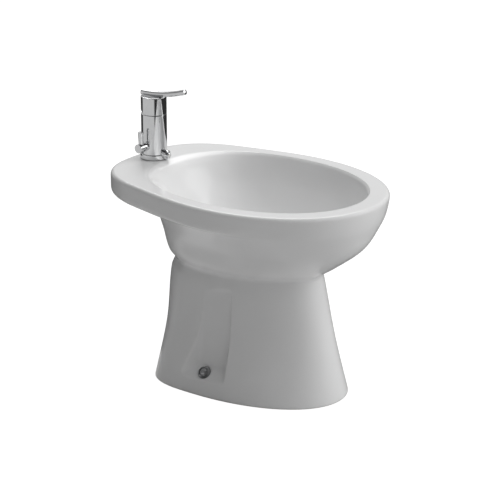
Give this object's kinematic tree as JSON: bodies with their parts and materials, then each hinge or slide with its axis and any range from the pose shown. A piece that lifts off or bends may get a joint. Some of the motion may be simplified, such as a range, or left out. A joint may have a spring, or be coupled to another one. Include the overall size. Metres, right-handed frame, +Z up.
{
  "type": "floor standing bidet",
  "caption": "Floor standing ceramic bidet with an egg-shaped bowl, flared pedestal, single-lever deck mixer with swivelling nozzle, and a side-lever pop-up waste.",
  "frame": {"origin": "middle of the footprint of the whole object, at floor level", "axes": "+Z up; -Y towards the user's end, +Y towards the wall and the tap; +X to the side without the pop-up lever"},
  "size_m": [0.385, 0.545, 0.5349],
  "materials": {
    "glazed_ceramic": "glossy white glaze",
    "tap_chrome": "polished chrome plating",
    "screw_steel": "satin stainless steel",
    "zinc_steel": "zinc plated steel",
    "raw_brass": "turned brass",
    "black_rubber": "matte black rubber",
    "white_plastic": "satin white plastic",
    "blue_plastic": "satin blue plastic",
    "disc_ceramic": "lapped alumina",
    "index_plastic": "glossy red index plug"
  },
  "bodies": {
    "base": {"ceramic_body": "glazed_ceramic", "floor_bracket_left": "zinc_steel", "floor_bracket_right": "zinc_steel", "side_screws": "screw_steel", "screw_cups": "screw_steel", "screw_bushes": "white_plastic", "bracket_nuts": "zinc_steel", "mixer_body": "tap_chrome", "base_ring": "tap_chrome", "base_seal": "black_rubber", "deck_gasket": "black_rubber", "clamp_plate": "zinc_steel", "fixing_stud": "zinc_steel", "fixing_nut": "raw_brass", "cartridge_base": "white_plastic", "cartridge_seals": "black_rubber", "fixed_disc": "disc_ceramic", "cartridge_housing": "blue_plastic", "cartridge_nut": "tap_chrome", "spout_ring": "tap_chrome", "popup_bushing": "tap_chrome", "cable_gland_mixer": "raw_brass", "control_cable": "black_rubber", "cable_gland_waste": "raw_brass", "waste_flange": "tap_chrome", "waste_top_seal": "black_rubber", "waste_body": "raw_brass", "waste_gasket": "black_rubber", "waste_washer": "zinc_steel", "waste_nut": "raw_brass", "cam_gland": "raw_brass", "tailpiece": "tap_chrome", "tailpiece_seal": "black_rubber", "tailpiece_nut": "tap_chrome", "overflow_ring": "tap_chrome"},
    "swivel": {"cartridge_swivel": "white_plastic", "stem_pin": "screw_steel"},
    "lever": {"cartridge_stem": "raw_brass", "lever_handle": "tap_chrome", "handle_screw": "screw_steel", "temperature_plug": "index_plastic"},
    "disc": {"moving_disc": "disc_ceramic"},
    "nozzle_seat": {"ball_seat": "white_plastic"},
    "nozzle": {"spout_ball": "tap_chrome", "aerator_insert": "white_plastic"},
    "popup": {"popup_lever": "tap_chrome"},
    "plug": {"waste_plug": "tap_chrome", "plug_seal": "black_rubber"},
    "crank": {"waste_cam": "screw_steel"}
  },
  "joints": [
    {"name": "lever_swivel", "type": "hinge", "parent": "base", "child": "swivel", "pos_m": [0, 0.232, 0.478], "axis": [0, 0, 1], "range_deg": [-50, 50]},
    {"name": "lever_tilt", "type": "hinge", "parent": "swivel", "child": "lever", "pos_m": [0, 0.232, 0.478], "axis": [-1, 0, 0], "range_deg": [0, 25]},
    {"name": "disc_slide", "type": "slide", "parent": "swivel", "child": "disc", "axis": [0, -1, 0], "range_m": [0, 0.0052]},
    {"name": "nozzle_turn", "type": "hinge", "parent": "base", "child": "nozzle_seat", "pos_m": [0, 0.20226, 0.40056], "axis": [0, -0.9848, -0.1736], "continuous": true},
    {"name": "nozzle_tilt", "type": "hinge", "parent": "nozzle_seat", "child": "nozzle", "pos_m": [0, 0.20226, 0.40056], "axis": [1, 0, 0], "range_deg": [-12, 12]},
    {"name": "popup_turn", "type": "hinge", "parent": "base", "child": "popup", "pos_m": [-0.038, 0.232, 0.417], "axis": [1, 0, 0], "range_deg": [0, 70]},
    {"name": "plug_lift", "type": "slide", "parent": "base", "child": "plug", "axis": [0, 0, 1], "range_m": [0, 0.009]},
    {"name": "crank_turn", "type": "hinge", "parent": "base", "child": "crank", "pos_m": [0.02, 0.02, 0.176], "axis": [-1, 0, 0], "range_deg": [0, 53.7]}
  ],
  "couplings": [
    {"joint": "disc_slide", "follows": "lever_tilt", "m_per_rad": 0.0117},
    {"joint": "plug_lift", "follows": "popup_turn", "m_per_rad": 0.00736},
    {"joint": "crank_turn", "follows": "popup_turn", "ratio": 0.766}
  ]
}
